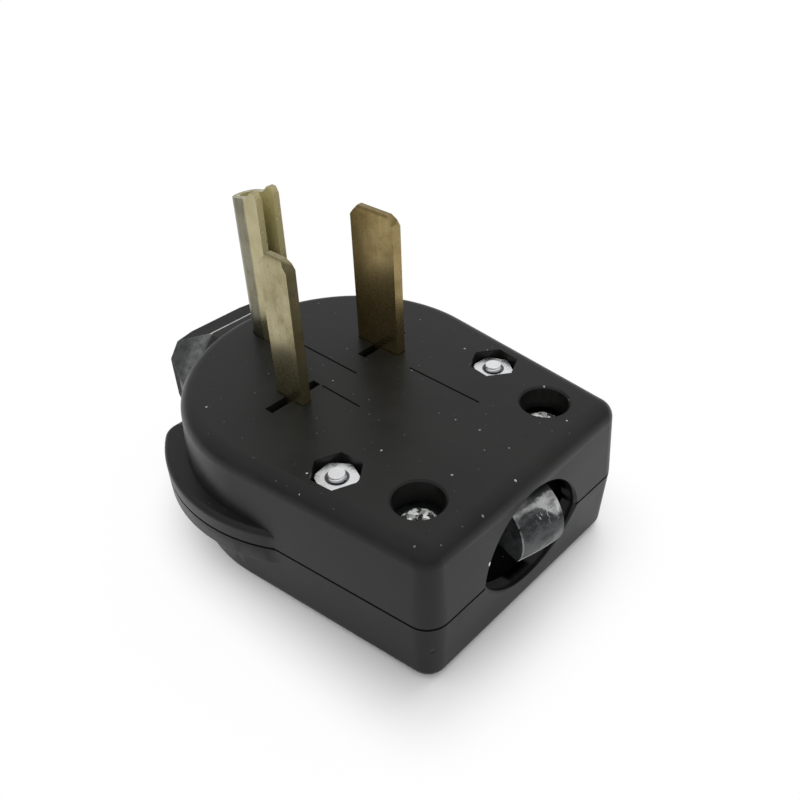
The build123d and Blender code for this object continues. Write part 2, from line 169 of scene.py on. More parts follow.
def object_place(tree, **mapping):
    """Object coordinates in metres, changed by a Mapping node's Location, Rotation or Scale."""
    place = add_node(tree, "ShaderNodeTexCoord").outputs["Object"]
    return add_node(tree, "ShaderNodeMapping", {"Vector": place, **mapping}).outputs[0]


def axes_of(tree, arrow):
    """The X, Y and Z values of a vector."""
    return add_node(tree, "ShaderNodeSeparateXYZ", {0: arrow}).outputs[:]


def facing_direction(tree):
    """X, Y and Z of the direction in which the surface faces."""
    return axes_of(tree, add_node(tree, "ShaderNodeTexCoord").outputs["Normal"])


def noise(tree, place, scale, detail=2.0, roughness=0.5):
    """A cloudy pattern between 0 and 1."""
    sockets = {"Vector": place, "Scale": scale, "Detail": detail, "Roughness": roughness}
    return add_node(tree, "ShaderNodeTexNoise", sockets).outputs["Fac"]


print("mask helpers ready")

# %% [markdown]
# The masks then steer colour and relief. A ramp turns one value into a run of colours, a mix lays one colour
# over another, and a bump tilts the shading as if the surface had small hills, without more mesh.

# %% Helpers for colour and relief
def full_colour(level):
    """A colour with its alpha, from three values or one grey level. A socket is handed back as it is."""
    if isinstance(level, tuple):
        return (*level, 1)
    if isinstance(level, float):
        return (level, level, level, 1)
    return level


def ramp(tree, value, stops):
    """A colour ramp over value, with stops of (place, colour)."""
    node = add_node(tree, "ShaderNodeValToRGB", {"Fac": value})
    points = node.color_ramp.elements
    while len(points) < len(stops):
        points.new(0.5)
    for point, (place, colour) in zip(points, stops):
        point.position = place
        point.color = full_colour(colour)
    return node.outputs["Color"]


def mix_colours(tree, amount, first, second, blend="MIX"):
    """Lays the second colour over the first. The colour sockets are numbers 6 and 7, and 2 comes out."""
    node = add_node(tree, "ShaderNodeMix", data_type="RGBA", blend_type=blend)
    fill_sockets(tree, node, {0: amount, 6: full_colour(first), 7: full_colour(second)})
    return node.outputs[2]


def bumps(tree, height, distance, strength=1.0):
    """A normal that is tilted as if the surface rose by height times distance."""
    sockets = {"Height": height, "Distance": distance, "Strength": strength}
    return add_node(tree, "ShaderNodeBump", sockets).outputs["Normal"]


print("colour helpers ready")

# %% [markdown]
# The plug lies on a white table. A plain flat sheet is enough for it, because it only has to catch the
# shadow. It is wide, so that its rim stays far away from low sides too, and it is marked as stage, so that it
# isn't counted as a piece of the plug.

# %% Floor
floor_size = 4.0
floor_mesh = bpy.data.meshes.new("floor")
floor_shape = bmesh.new()
bmesh.ops.create_grid(floor_shape, x_segments=8, y_segments=8, size=floor_size)
floor_shape.to_mesh(floor_mesh)
floor_shape.free()
floor = bpy.data.objects.new("floor", floor_mesh)
scene.collection.objects.link(floor)
floor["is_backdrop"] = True
print("floor", 2 * floor_size, "m wide")

# %% [markdown]
# More light would turn the table white and wash out the plug with it. So part of what the camera sees of the
# table is a steady white, read through the Light Path node, and no more light falls on the plug. Reflections
# and clear materials see the same white. Its share grows with the distance from the plug's outline, a bar
# with one round end, so the shadow stays deep at the foot of the plug. Far from the plug the sheet fades
# into the grey of the room, which softens the horizon that shows from a low side.

# %% White of the floor
def background_rays(tree):
    """1 for a ray from the camera, a reflection or clear material, 0 for light that falls on a surface."""
    ray = add_node(tree, "ShaderNodeLightPath").outputs
    return calculate(tree, "MAXIMUM", ray["Is Camera Ray"], ray["Is Glossy Ray"], ray["Is Transmission Ray"])


def flat_length(tree, x, y):
    """Length of the flat vector x, y."""
    flat = add_node(tree, "ShaderNodeCombineXYZ", {"X": x, "Y": y}).outputs[0]
    return add_node(tree, "ShaderNodeVectorMath", {0: flat}, operation="LENGTH").outputs["Value"]


def part_past(tree, value, limit):
    """How far the value goes past a limit, or 0."""
    return calculate(tree, "MAXIMUM", calculate(tree, "SUBTRACT", value, limit), 0.0)


floor_glow_share, shadow_reach = 0.95, 18 * mm
foot_end, foot_round_x, foot_half_width = 25.8 * mm, -20.2 * mm, 26 * mm
near_paint, far_paint = (0.93, 0.93, 0.93), (0.5, 0.5, 0.5)
white_end, grey_start = 0.8, 3.5

floor_finish, tree, shader = new_finish("white_table")
place = object_place(tree)
x, y, _ = axes_of(tree, place)
spread = add_node(tree, "ShaderNodeVectorMath", {0: place}, operation="LENGTH").outputs["Value"]
near = fade(tree, spread, white_end, grey_start, low=1.0, high=0.0)
paint = mix_colours(tree, near, far_paint, near_paint)
fill_sockets(tree, shader, {"Base Color": paint, "Roughness": 0.9})

round_part = calculate(tree, "MINIMUM", calculate(tree, "SUBTRACT", x, foot_round_x), 0.0)
beside = part_past(tree, flat_length(tree, round_part, y), foot_half_width)
from_foot = flat_length(tree, beside, part_past(tree, x, foot_end))
white_share = fade(tree, from_foot, 0.0, shadow_reach, low=0.0, high=floor_glow_share)
glow_share = product(tree, background_rays(tree), near, white_share)
glow = add_node(tree, "ShaderNodeEmission", {"Color": (1, 1, 1, 1), "Strength": 1.0})
blend = add_node(tree, "ShaderNodeMixShader", {0: glow_share, 1: shader.outputs[0], 2: glow.outputs[0]})
tree.links.new(blend.outputs[0], tree.nodes["Material Output"].inputs["Surface"])
floor_mesh.materials.append(floor_finish)
print("finish:", floor_finish.name)

# %% [markdown]
# A black glossy part looks like its surroundings: an even white room would turn the whole plug grey. The
# room is therefore bright overhead and darker towards its walls, so that surfaces that look up and surfaces
# that look sideways get different light and the rounded edges between them show. The world's own direction
# gives the height above the horizon.

# %% Room
wall_light, ceiling_light, ceiling_height = 0.42, 0.95, 0.75
world = bpy.data.worlds.new("soft_room")
world.use_nodes = True
tree = world.node_tree
_, _, height = axes_of(tree, add_node(tree, "ShaderNodeTexCoord").outputs["Generated"])
level = fade(tree, height, 0.0, ceiling_height, wall_light, ceiling_light)
fill_sockets(tree, tree.nodes["Background"], {"Color": (1, 1, 1, 1), "Strength": level})
scene.world = world
scene.view_settings.view_transform = "Standard"
print("room light from", wall_light, "at the walls to", ceiling_light, "overhead")

# %% [markdown]
# The shadow in the picture lies close to the plug, in front of it and on its left, so the main light is a
# broad window behind it on the right, and a weak lamp in front lifts the cord end. Area lamps give soft
# shadow edges. Each lamp is aimed at the middle of the plug. The picture shows no lamp mirrored in the
# rounded edges, only the soft room, so the lamps are hidden from the camera and from reflections.

# %% Lamps
plug_middle = Vector((-15 * mm, 0, 20 * mm))


def add_lamp(name, right, up, back, size, power):
    """An area lamp placed by the picture's own directions, in metres from the frame's origin."""
    lamp = bpy.data.objects.new(name, bpy.data.lights.new(name, "AREA"))
    scene.collection.objects.link(lamp)
    lamp.location = right * level_right + back * flat_back + up * world_up
    lamp.rotation_euler = (lamp.location - plug_middle).to_track_quat("Z", "Y").to_euler()
    lamp.data.size = size
    lamp.data.energy = power
    lamp.visible_camera = lamp.visible_glossy = False
    print("lamp", name, power, "W")


add_lamp("window", right=0.3, up=0.7, back=-0.4, size=0.6, power=2.8)
add_lamp("front_fill", right=0.35, up=0.4, back=0.7, size=0.6, power=0.5)

# %% [markdown]
# The housing is a black moulding with a fine matt grain. Plain black would look like a hole in the picture,
# so the finish gets layers, one in each of the next steps. The first is a broad mottling of two near-blacks.
# The same pattern shifts the roughness later, so that colour and gloss change together.

# %% Black moulded plastic
deep_black, pale_black = (0.0085, 0.0088, 0.0083), (0.0140, 0.0141, 0.0132)
moulded, tree, shader = new_finish("black_moulded_plastic")
place = object_place(tree)
x, y, z = axes_of(tree, place)
facing_x, _, facing_z = facing_direction(tree)
side_y = calculate(tree, "ABSOLUTE", y)
mottle = noise(tree, place, scale=85.0, detail=4.0, roughness=0.6)
colour = ramp(tree, mottle, [(0.3, deep_black), (0.7, pale_black)])
print("started:", moulded.name)

# %% [markdown]
# Pale specks of dust lie on the surfaces that face up. Loose grains could be scattered as mesh, but they
# would be thousands of tiny pieces. A flat Voronoi pattern paints them: the distance to each cell's point
# gives round spots, and the cell's random colour picks which spots show, how large and how pale they are.

# %% Dust on the plastic
dust_colour, cells_per_metre, smallest_speck, largest_speck = (0.5, 0.51, 0.51), 330.0, 0.014, 0.07
sockets = {"Vector": place, "Scale": cells_per_metre}
cells = add_node(tree, "ShaderNodeTexVoronoi", sockets, voronoi_dimensions="2D").outputs
chance = add_node(tree, "ShaderNodeSeparateColor", {"Color": cells["Color"]}).outputs
mostly_small = calculate(tree, "POWER", chance["Green"], 3.0)
speck_size = fade(tree, mostly_small, 0.0, 1.0, smallest_speck, largest_speck)
speck = product(tree,
                calculate(tree, "LESS_THAN", cells["Distance"], speck_size),
                calculate(tree, "GREATER_THAN", chance["Red"], 0.6),
                calculate(tree, "GREATER_THAN", facing_z, 0.6),
                fade(tree, chance["Blue"], 0.0, 1.0, low=0.08, high=0.7))
colour = mix_colours(tree, speck, colour, dust_colour)
print("dust on", moulded.name)

# %% [markdown]
# One knock has left a white chip on the edge of the cord opening. It is set by its own point: whatever lies
# within a short distance of that point is white, and a fine noise added to the distance makes it ragged.

# %% Chip on the cord opening
def distance_to(tree, place, point):
    """Distance in metres from a point that is given in millimetres."""
    centre = tuple(value * mm for value in point)
    measure = add_node(tree, "ShaderNodeVectorMath", {0: place, 1: centre}, operation="DISTANCE")
    return measure.outputs["Value"]


chip_place, chip_colour = (25.4, -12.0, 18.4), (0.75, 0.75, 0.74)
chip_size, chip_raggedness = 0.62 * mm, 0.5 * mm
ragged = product(tree, noise(tree, place, scale=2200.0, detail=1.0), chip_raggedness)
from_chip = calculate(tree, "ADD", distance_to(tree, place, chip_place), ragged)
chip = calculate(tree, "LESS_THAN", from_chip, chip_size)
colour = mix_colours(tree, chip, colour, chip_colour)
print("chip at", chip_place, "mm")

# %% [markdown]
# The pull lug is handled most, and its top is dull. A pale line along its crease is a painted highlight, and
# a pale haze on its shoulders is painted sheen. The marks follow the lug's planes, so X, Y and Z of the place
# give their masks. The painted sheen lies where the height fits the slope of the shoulder, and it gets
# thinner outwards, measured from the middle of the round end.

# %% Painted highlights and dull top of the pull lug
crease_x, crease_drop, crease_low, crease_high = -52.15 * mm, 1.0 * mm, 1.6 * mm, 1.4 * mm
shoulder_y, shoulder_fall = 7.6 * mm, tan(radians(36))
shoulder_sheen_colour, crease_highlight_colour = (0.16, 0.17, 0.165), (0.55, 0.55, 0.54)
# Painted highlight: a thin pale line along the crease of the lug.
painted_crease_highlight = product(tree,
                 fade(tree, distance_between(tree, x, crease_x), 0.22 * mm, 0.12 * mm),
                 fade(tree, side_y, shoulder_y + 0.3 * mm, shoulder_y),
                 fade(tree, z, face_top - crease_low, face_top - crease_high),
                 fade(tree, mottle, 0.3, 0.6, low=0.5, high=1.0))

# Painted sheen: a pale haze where the height fits the slope of the shoulders.
drop = product(tree, calculate(tree, "SUBTRACT", side_y, shoulder_y), shoulder_fall)
shoulder_z = calculate(tree, "SUBTRACT", face_top - crease_drop, drop)
from_round = flat_length(tree, calculate(tree, "SUBTRACT", x, foot_round_x), side_y)
fine_noise = noise(tree, place, scale=650.0, detail=4.0, roughness=0.7)
painted_shoulder_sheen = product(tree,
               fade(tree, distance_between(tree, z, shoulder_z), 0.3 * mm, 0.15 * mm),
               fade(tree, x, -44 * mm, -46 * mm),
               fade(tree, from_round, 32 * mm, 33 * mm),
               fade(tree, from_round, 34 * mm, 38 * mm, low=1.0, high=0.3),
               fade(tree, fine_noise, 0.3, 0.7, low=0.35, high=1.0))
lug_top = product(tree, fade(tree, x, -52.2 * mm, -52.6 * mm), fade(tree, facing_x, -0.2, -0.3))
colour = mix_colours(tree, painted_shoulder_sheen, colour, shoulder_sheen_colour)
colour = mix_colours(tree, painted_crease_highlight, colour, crease_highlight_colour)
print("wear on the lug past x", round(crease_x, 4), "m")

# %% [markdown]
# The walls inside the cord opening are painted paler than the outside, as painted light that lifts them out
# of their shade. A box of fades marks that room, from just behind the cord end inwards.

# %% Painted light inside the cord opening
# Painted light: a paler colour on the walls inside the cord opening.
painted_light_inside_colour = (0.045, 0.047, 0.046)
inside = product(tree,
                 fade(tree, x, 24.8 * mm, 24.2 * mm),
                 fade(tree, x, 4 * mm, 5 * mm),
                 fade(tree, side_y, 14 * mm, 13 * mm),
                 fade(tree, z, 24 * mm, 23 * mm),
                 fade(tree, z, 3 * mm, 4 * mm))
colour = mix_colours(tree, inside, colour, painted_light_inside_colour)
print("lightened inside of", moulded.name)

# %% [markdown]
# Last come the gloss and the relief of the plastic. A fine noise is the moulded grain, and a small dent in
# the lower corner is a dip in the same relief. The reflection has a faint green tint, as in the picture. The
# back cover comes from another mould and shines a little less, so the reflection changes with the height
# where the two halves meet.

# %% Gloss and relief of the plastic
dent_place, dent_depth, grain_depth = (24.6, -25.1, 8.05), -9.0, 0.03 * mm
lug_roughness, reflection_tint = 0.8, (0.95, 1.0, 0.975, 1.0)
grain = noise(tree, place, scale=2600.0, detail=2.0, roughness=0.6)
dent = fade(tree, distance_to(tree, place, dent_place), 0.25 * mm, 0.6 * mm, dent_depth, 0.0)
matt = fade(tree, mottle, 0.2, 0.8, low=0.30, high=0.42)
fill_sockets(tree, shader, {
    "Base Color": colour,
    "Roughness": calculate(tree, "MAXIMUM", matt, product(tree, lug_top, lug_roughness)),
    "Normal": bumps(tree, calculate(tree, "ADD", grain, dent), grain_depth, strength=0.6),
    "Specular Tint": reflection_tint,
    "Specular IOR Level": fade(tree, z, 13.0 * mm, 14.4 * mm, low=0.135, high=0.2)})
print("finish:", moulded.name)

# %% [markdown]
# The contacts are cut from brass strip. The rolled metal is still smooth, so the upright blades mirror what
# lies in front of them: the black face in their lower part and the white table above it. That dark foot must
# come from the reflection and not from paint, or it would be wrong from every other side, so the roughness
# stays low. A noise that is stretched along the blade makes the rolling marks, a slower noise makes the
# tarnish, and a fine one makes brown freckles.

# %% Brass strip
clean_brass, dull_brass, brown_brass = (0.42, 0.375, 0.225), (0.36, 0.315, 0.175), (0.25, 0.20, 0.10)
freckle_brown, freckle_share, freckle_roughness = (0.22, 0.14, 0.07), 0.45, 0.04
mark_share, mark_depth, metal_share = 0.3, 0.012 * mm, 0.94


def brass_finish(name):
    """Brass with rolling marks and tarnish: the finish, its tree, shader, colour and roughness."""
    finish, tree, shader = new_finish(name)
    place = object_place(tree)
    marks = noise(tree, object_place(tree, Scale=(1.0, 1.0, 0.04)), scale=1900.0, detail=4.0, roughness=0.6)
    clouds = noise(tree, place, scale=170.0, detail=5.0, roughness=0.65)
    freckles = fade(tree, noise(tree, place, scale=900.0, detail=3.0, roughness=0.7), 0.60, 0.72)
    metal = ramp(tree, clouds, [(0.38, clean_brass), (0.55, dull_brass), (0.72, brown_brass)])
    mark_shades = ramp(tree, marks, [(0.3, 0.45), (0.7, 1.0)])
    metal = mix_colours(tree, mark_share, metal, mark_shades, "MULTIPLY")
    metal = mix_colours(tree, product(tree, freckles, freckle_share), metal, freckle_brown)
    cloudy_rough = fade(tree, clouds, 0.35, 0.75, low=0.24, high=0.33)
    rough = calculate(tree, "ADD", cloudy_rough, product(tree, freckles, freckle_roughness))
    relief = bumps(tree, marks, mark_depth, strength=0.15)
    fill_sockets(tree, shader, {"Roughness": rough, "Metallic": metal_share, "Normal": relief})
    return finish, tree, shader, metal, rough


print("brass with", metal_share, "of metal")

# %% [markdown]
# Both blades share one finish, and their own marks are told apart by Y. The blade on the far side has the
# browner tarnish. The near blade's edge towards the cord end was sheared and never polished, so it is rough
# and dark.

# %% Tarnished brass of the blades
far_tint, sheared_tint, sheared_roughness = (0.83, 0.71, 0.53), (0.42, 0.40, 0.36), 0.3
brass, tree, shader, metal, rough = brass_finish("tarnished_brass")
_, y, _ = axes_of(tree, object_place(tree))
facing_x, _, _ = facing_direction(tree)
metal = mix_colours(tree, fade(tree, y, 3 * mm, 8 * mm), metal, far_tint, "MULTIPLY")
sheared = product(tree, fade(tree, facing_x, 0.7, 0.9), fade(tree, y, 0.0, -3 * mm))
metal = mix_colours(tree, sheared, metal, mix_colours(tree, 1.0, metal, sheared_tint, "MULTIPLY"))
rough = calculate(tree, "ADD", rough, product(tree, sheared, sheared_roughness))
fill_sockets(tree, shader, {"Base Color": metal, "Roughness": rough})
print("finish:", brass.name)

# %% [markdown]
# The earth pin is folded from the same strip. Its bend is painted a dull olive, a painted dark reflection,
# and the front of each leg is painted brighter, a painted bright reflection. The border between them is a
# nearly straight line up the pin. A fade along X gives that border. Faces that look up get the bright colour
# too, as painted light, so they are left out of the olive. The inside of the fold and the front edges of the
# legs are milky, and that colour grows lighter towards the tip, which is painted shade at the foot of the
# pin, so there a plainer colour that depends on the height takes over from the mirror.

# %% Brass of the earth pin
dark_reflection_tint, bright_reflection_brass, bright_reflection_share = (0.58, 0.62, 0.75), (0.52, 0.47, 0.28), 0.5
shaded_low_lining, high_lining, lining_metal = (0.17, 0.145, 0.07), (0.50, 0.45, 0.22), 0.1
reflection_border_front, reflection_border_back, border_wander = -39.9 * mm, -40.6 * mm, 0.6 * mm
pin_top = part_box("earth_pin")[1].z
pin_brass, tree, shader, metal, _ = brass_finish("earth_pin_brass")
place = object_place(tree)
x, y, z = axes_of(tree, place)
facing_x, _, facing_z = facing_direction(tree)

# Painted reflection: olive on the bend and brighter brass on the leg fronts, and up-facing faces stay bright
# as painted light.
wander = product(tree, noise(tree, place, scale=250.0, detail=2.0), border_wander)
painted_dark_reflection = fade(tree, calculate(tree, "ADD", x, wander), reflection_border_front, reflection_border_back)
painted_dark_reflection = product(tree, painted_dark_reflection, fade(tree, facing_z, 0.5, 0.3))
bright = mix_colours(tree, bright_reflection_share, metal, bright_reflection_brass)
metal = mix_colours(tree, painted_dark_reflection, bright, mix_colours(tree, 1.0, metal, dark_reflection_tint, "MULTIPLY"))

between_legs = fade(tree, calculate(tree, "ABSOLUTE", y), 1.42 * mm, 1.38 * mm)
in_fold = product(tree, between_legs, fade(tree, x, -44.5 * mm, -44.4 * mm))
leg_edges = fade(tree, facing_x, 0.6, 0.9, low=0.0, high=0.6)
milky = calculate(tree, "MAXIMUM", in_fold, leg_edges)
# The milky colour is the pin's own, and its darkening towards the foot of the pin is painted shade.
painted_shade_fade = fade(tree, z, pin_top - 15 * mm, pin_top - 12 * mm)
metal = mix_colours(tree, milky, metal, mix_colours(tree, painted_shade_fade, shaded_low_lining, high_lining))
fill_sockets(tree, shader, {
    "Base Color": metal, "Metallic": fade(tree, milky, 0.0, 1.0, metal_share, lining_metal)})
print("finish:", pin_brass.name)

# %% [markdown]
# The bolts and nuts are zinc plated steel: nearly white, a little milky, with fine pits. A cloudy roughness
# is what tells plating from polished steel. Painted shade darkens the joint between each bolt and its nut,
# where the countersink lies in shade, and the side of the bolt's end too. Both are rings about the bolt's
# axis, so the distance from that axis and the height give the two masks. The bolts mirror each other, and the
# absolute value of Y serves both.

# %% Zinc plating
grey_zinc, white_zinc, bolt_shade_colour = (0.80, 0.81, 0.83), (0.93, 0.94, 0.95), (0.03, 0.03, 0.035)
bolt_low, bolt_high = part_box("cover_bolt_far")
bolt_y = (bolt_low.y + bolt_high.y) / 2
nut_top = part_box("cover_nut_far")[1].z
zinc, tree, shader = new_finish("zinc_plating")
place = object_place(tree)
x, y, z = axes_of(tree, place)
clouds = noise(tree, place, scale=700.0, detail=3.0, roughness=0.6)
pits = noise(tree, place, scale=2400.0, detail=2.0)
metal = ramp(tree, clouds, [(0.3, grey_zinc), (0.7, white_zinc)])

# Painted shade: dark rings at the joint with the nut and on the side of the bolt's end.
sideways = calculate(tree, "SUBTRACT", calculate(tree, "ABSOLUTE", y), bolt_y)
from_axis = flat_length(tree, x, sideways)
ring = product(tree, fade(tree, from_axis, 1.5 * mm, 1.6 * mm), fade(tree, from_axis, 2.15 * mm, 2.05 * mm))
joint_shade = fade(tree, z, nut_top + 0.12 * mm, nut_top + 0.02 * mm, low=0.0, high=0.9)
neck_shade = fade(tree, z, bolt_high.z - 0.15 * mm, bolt_high.z - 0.3 * mm, low=0.0, high=0.65)
painted_bolt_shade = product(tree, ring, calculate(tree, "MAXIMUM", joint_shade, neck_shade))
fill_sockets(tree, shader, {
    "Base Color": mix_colours(tree, painted_bolt_shade, metal, bolt_shade_colour),
    "Roughness": fade(tree, clouds, 0.25, 0.75, low=0.24, high=0.46),
    "Metallic": 1.0,
    "Normal": bumps(tree, pits, 0.04 * mm, strength=0.6)})
print("finish:", zinc.name)

# %% [markdown]
# The screw heads at the bottom of the access holes are plated too, but drivers have chewed them and grime
# fills the low spots. From above they are a scatter of white fragments. A noise with a narrow fade splits
# them into bright metal and dark grime, and a strong bump turns the fragments in different directions.

# %% Chewed screw heads
grime_colour, fragment_colour = (0.05, 0.055, 0.05), (0.97, 0.98, 0.95)
chewed, tree, shader = new_finish("chewed_plating")
place = object_place(tree)
bright = fade(tree, noise(tree, place, scale=780.0, detail=3.0, roughness=0.6), 0.49, 0.53)
dents = noise(tree, place, scale=1500.0, detail=2.0)
fill_sockets(tree, shader, {
    "Base Color": mix_colours(tree, bright, grime_colour, fragment_colour),
    "Roughness": fade(tree, bright, 0.0, 1.0, low=0.6, high=0.25),
    "Metallic": 0.15,
    "Normal": bumps(tree, dents, 0.15 * mm, strength=0.8)})
print("finish:", chewed.name)

# %% [markdown]
# The cord clamp is a pressed fibre piece that cords have rubbed. Its rounded nose stands askew on the bar,
# and the scuffs follow the nose. A Mapping node first turns the coordinates until Y runs along the nose and
# Z stays the height, so that each scuff can be a fade along one axis. One noise is stretched across the
# plug, so that it smears, and a broader one makes patches.

# %% Place on the clamp's nose
nose_x, nose_y, nose_turn, nose_half = 21.9 * mm, 0.8 * mm, radians(13), 4.6 * mm
scuffed, tree, shader = new_finish("scuffed_clamp")
turned_x = nose_x * cos(nose_turn) - nose_y * sin(nose_turn)
turned_y = nose_x * sin(nose_turn) + nose_y * cos(nose_turn)
nose_place = object_place(tree, Location=(-turned_x, -turned_y, 0), Rotation=(0, 0, nose_turn))
_, along, height = axes_of(tree, nose_place)
facing_x, _, _ = facing_direction(tree)
smears = noise(tree, object_place(tree, Scale=(1.0, 0.45, 1.0)), scale=420.0, detail=6.0, roughness=0.68)
patches = noise(tree, object_place(tree), scale=240.0, detail=4.0, roughness=0.6)
print("nose at x", nose_x, "m,", 2 * nose_half, "m wide")

# %% [markdown]
# The clamp is dark where it is untouched. It is scuffed pale along a band at the top of the nose that widens
# at the far end and in a few scratches below the band, and its lower and near edges get a pale painted
# highlight. Each mark is a product of fades, broken up by noise, and the strongest one counts at each point.
# All of them show only on the front of the nose.

# %% Scuffs and painted edge highlights of the clamp
band_low, band_high, band_growth, band_waves = 22.25 * mm, 23.0 * mm, 2.3 * mm, 1.6 * mm
nose_foot = 14.1 * mm
waves = product(tree, calculate(tree, "SUBTRACT", patches, 0.5), band_waves)
wavy = calculate(tree, "ADD", height, waves)
widening = fade(tree, along, 0.2 * mm, 3.6 * mm, 0.0, band_growth)
over_band_foot = calculate(tree, "SUBTRACT", wavy, calculate(tree, "SUBTRACT", band_low, widening))
band = product(tree,
               fade(tree, over_band_foot, -0.15 * mm, 0.25 * mm),
               fade(tree, wavy, band_high, band_high - 0.3 * mm),
               fade(tree, smears, 0.36, 0.60, low=0.25, high=0.85))

streaks = noise(tree, object_place(tree, Scale=(1.0, 2.6, 0.5)), scale=700.0, detail=3.0, roughness=0.6)
scratches = product(tree,
                    fade(tree, streaks, 0.56, 0.62),
                    fade(tree, height, 19.4 * mm, 20.2 * mm),
                    fade(tree, height, 22.0 * mm, 21.6 * mm),
                    fade(tree, along, -1.4 * mm, 0.2 * mm))

# Painted highlights along the lower and near edges of the front.
lower_edge_highlight = fade(tree, height, nose_foot, nose_foot - 0.6 * mm)
near_edge_highlight = fade(tree, along, 0.45 * mm - nose_half, 0.1 * mm - nose_half, low=0.0, high=0.35)
broken = fade(tree, smears, 0.3, 0.55, low=0.3, high=1.0)
edges = product(tree, calculate(tree, "MAXIMUM", lower_edge_highlight, near_edge_highlight), broken)

faint = fade(tree, patches, 0.52, 0.72, low=0.0, high=0.3)
from_middle = calculate(tree, "ABSOLUTE", along)
wear_and_highlights = product(tree,
               calculate(tree, "MAXIMUM", band, scratches, edges, faint),
               fade(tree, facing_x, 0.1, 0.4),
               fade(tree, from_middle, nose_half + 0.2 * mm, nose_half + 0.05 * mm))
print("scuffs between", nose_foot, "and", band_high, "m")

# %% [markdown]
# The fibre itself is smeared with two greys, and its top is darker, which is painted shade under the lip of
# the cord opening. The scuffs and the painted edge highlights are laid over it, and last a nearly white
# painted highlight along the lower edge of the front. Scuffed fibre is rougher than untouched fibre, so the
# same mask steers the roughness too.

# %% Scuffed clamp
dark_fibre, smeared_fibre, shaded_top_fibre = (0.014, 0.016, 0.017), (0.070, 0.074, 0.075), (0.016, 0.018, 0.019)
scuff_and_highlight_colour, white_highlight_colour = (0.48, 0.48, 0.48), (0.75, 0.75, 0.74)
fibre = mix_colours(tree, fade(tree, smears, 0.36, 0.62), dark_fibre, smeared_fibre)
# Painted shade: the top of the nose is darker under the lip of the opening.
fibre = mix_colours(tree, fade(tree, height, 22.6 * mm, 23.4 * mm), fibre, shaded_top_fibre)
fibre = mix_colours(tree, wear_and_highlights, fibre, scuff_and_highlight_colour)
# Painted highlight: a nearly white line along the lower edge of the front.
white_edge_highlight = product(tree,
                    fade(tree, height, nose_foot, nose_foot - 0.3 * mm),
                    fade(tree, smears, 0.3, 0.5, low=0.5, high=1.0),
                    fade(tree, facing_x, 0.3, 0.6))
fill_sockets(tree, shader, {
    "Base Color": mix_colours(tree, white_edge_highlight, fibre, white_highlight_colour),
    "Roughness": fade(tree, wear_and_highlights, 0.0, 1.0, low=0.42, high=0.75),
    "Normal": bumps(tree, smears, 0.08 * mm, strength=0.6),
    "Specular IOR Level": 0.25})
print("finish:", scuffed.name)

# %% [markdown]
# Small solids keep their CAD shape and only take a finish. The record says which material slot each node
# belongs to, so one short table of slot to finish dresses them all.

# %% Dress the CAD nodes
finish_of_slot = {"housing": moulded, "brass": brass, "plated_steel": zinc, "clamp": scuffed}
slot_of_node = {part["node"]: part["material_slot"] for part in frame["record"]["subparts"]}
for node_name, node in frame["nodes"].items():
    node.data.materials.clear()
    node.data.materials.append(finish_of_slot[slot_of_node[node_name]])
print("dressed", len(frame["nodes"]), "nodes")

# %% [markdown]
# The housing halves, the contacts and the clamp are smooth pieces, but a CAD mesh is made of separate flat
# triangles and would show every one of them in the gloss. A copy with its doubled points merged can be shaded
# smooth, with the real edges kept sharp. First the triangles of each flat face are dissolved into one face.
# Weighted normals then give that large face its full weight, so it stays flat up to the start of each
# rounded edge.

# %% Smooth housing halves, contacts and clamp
def joined_copy(node_name, name):
    """The CAD solid as one joined mesh in a new object at the origin."""
    shape = bmesh.new()
    shape.from_mesh(frame["nodes"][node_name].data)
    bmesh.ops.remove_doubles(shape, verts=shape.verts, dist=0.002 * mm)
    bmesh.ops.dissolve_limit(shape, angle_limit=radians(0.2), verts=shape.verts, edges=shape.edges)
    mesh = bpy.data.meshes.new(name)
    shape.to_mesh(mesh)
    shape.free()
    piece = bpy.data.objects.new(name, mesh)
    scene.collection.objects.link(piece)
    return piece


def settle(piece):
    """Replaces the piece's mesh by its evaluated one and removes the modifiers."""
    bpy.context.view_layer.update()
    evaluated = piece.evaluated_get(bpy.context.evaluated_depsgraph_get())
    mesh = bpy.data.meshes.new_from_object(evaluated)
    piece.modifiers.clear()
    piece.data = mesh
    return piece


def shade_smooth(piece, sharp_angle):
    """Shades the piece smooth, apart from edges that turn by more than the angle in degrees."""
    piece.data.shade_smooth()
    piece.data.set_sharp_from_angle(angle=radians(sharp_angle))
    weigh = piece.modifiers.new("flat_faces_first", "WEIGHTED_NORMAL")
    weigh.keep_sharp = True
    return settle(piece)


def stand_for(piece, *node_names):
    """Hands the piece to the frame in place of CAD nodes."""
    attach(piece, "root")
    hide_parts(*node_names)
    print(piece.name, len(piece.data.polygons), "faces")


for node_name in ("face_body", "back_cover", "narrow_blade", "wide_blade", "earth_pin", "cord_clamp"):
    piece = shade_smooth(joined_copy(node_name, node_name + "_smooth"), sharp_angle=28)
    finish = pin_brass if node_name == "earth_pin" else finish_of_slot[slot_of_node[node_name]]
    piece.data.materials.clear()
    piece.data.materials.append(finish)
    stand_for(piece, node_name)

# %% [markdown]
# Two bolts with threads hold the housing together, and two screws hold the cord clamp. All four are the same
# kind of thing in other sizes, which is what Geometry Nodes are for: one tree with named sizes, run once for
# each pair. Modelling one by hand and copying it would hide the sizes in the mesh. These helpers start a
# tree, run it and keep the result as a plain mesh.

